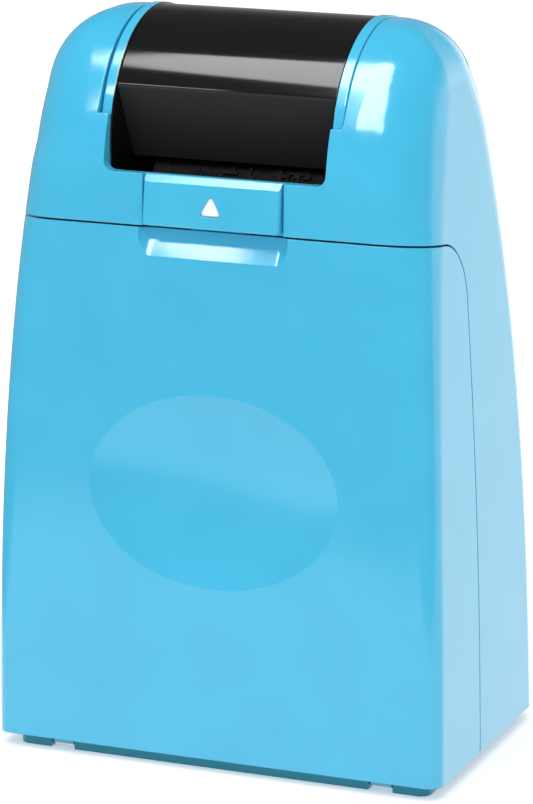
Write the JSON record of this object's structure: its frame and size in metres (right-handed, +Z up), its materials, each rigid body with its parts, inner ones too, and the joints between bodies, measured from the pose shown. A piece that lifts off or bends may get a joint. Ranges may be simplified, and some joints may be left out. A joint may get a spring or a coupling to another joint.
{
  "type": "privacy roller stamp",
  "caption": "Hand-held privacy roller stamp: rounded blue shell with thumb dimple, release tab, hinged front cover and a black shuttered drum carrying the inked roller in its open head",
  "frame": {"origin": "Middle of the flat foot, on the surface that the stamp stands on, below the middle of its box.", "axes": "+Z up from the foot to the roller head, -Y the front with the thumb dimple and the release tab, X the width; the shell is symmetric in X, the return spring sits on the -X side."},
  "size_m": [0.0486, 0.0309, 0.0759],
  "materials": {
    "body_blue": "satin gloss",
    "foot_blue": "fine matte",
    "mark_white": "printed matte",
    "drum_black": "gloss",
    "frame_grey": "matte",
    "bush_white": "smooth",
    "roller_grey": "matte",
    "stamp_rubber": "matte",
    "ink_felt": "inked felt",
    "reservoir_black": "matte",
    "steel": "bright"
  },
  "bodies": {
    "housing": {"rear_housing": "body_blue", "base_foot": "foot_blue", "foot_screws": "steel", "inner_frame": "frame_grey", "left_drum_bush": "bush_white", "right_drum_bush": "bush_white", "left_hinge_pin": "steel", "right_hinge_pin": "steel", "drum_spring": "steel"},
    "cover": {"front_cover": "body_blue"},
    "tab": {"release_tab": "body_blue", "tab_arrow": "mark_white", "tab_spring": "steel"},
    "drum": {"left_drum_disc": "body_blue", "right_drum_disc": "body_blue", "drum_clip": "steel", "drum_shutter": "drum_black", "ink_reservoir": "reservoir_black", "ink_wick": "ink_felt", "stamp_roller_axle": "steel", "ink_roller_axle": "steel"},
    "stamp_roller": {"stamp_roller_core": "roller_grey", "stamp_rubber_sleeve": "stamp_rubber"},
    "ink_roller": {"ink_roller_core": "roller_grey", "ink_roller_felt": "ink_felt"}
  },
  "joints": [
    {"name": "cover_hinge", "type": "hinge", "parent": "housing", "child": "cover", "pos_m": [0, -0.01265, 0.001], "axis": [1, 0, 0], "range_deg": [0, 75]},
    {"name": "tab_slide", "type": "slide", "parent": "housing", "child": "tab", "axis": [0, 0, 1], "range_m": [0, 0.0008], "stiffness_N_per_m": 500, "springref_m": -0.0004, "deforming": ["tab_spring"]},
    {"name": "drum_turn", "type": "hinge", "parent": "housing", "child": "drum", "pos_m": [0, -0.0006, 0.0635], "axis": [-1, 0, 0], "range_deg": [0, 150], "stiffness_Nm_per_rad": 0.004, "springref_deg": -28.65},
    {"name": "stamp_roller_spin", "type": "hinge", "parent": "drum", "child": "stamp_roller", "pos_m": [0, -0.00276, 0.05684], "axis": [1, 0, 0], "continuous": true},
    {"name": "ink_roller_spin", "type": "hinge", "parent": "drum", "child": "ink_roller", "pos_m": [0, 0.00022, 0.06602], "axis": [1, 0, 0], "continuous": true}
  ],
  "couplings": [
    {"joint": "ink_roller_spin", "follows": "stamp_roller_spin", "ratio": -1.6667}
  ]
}
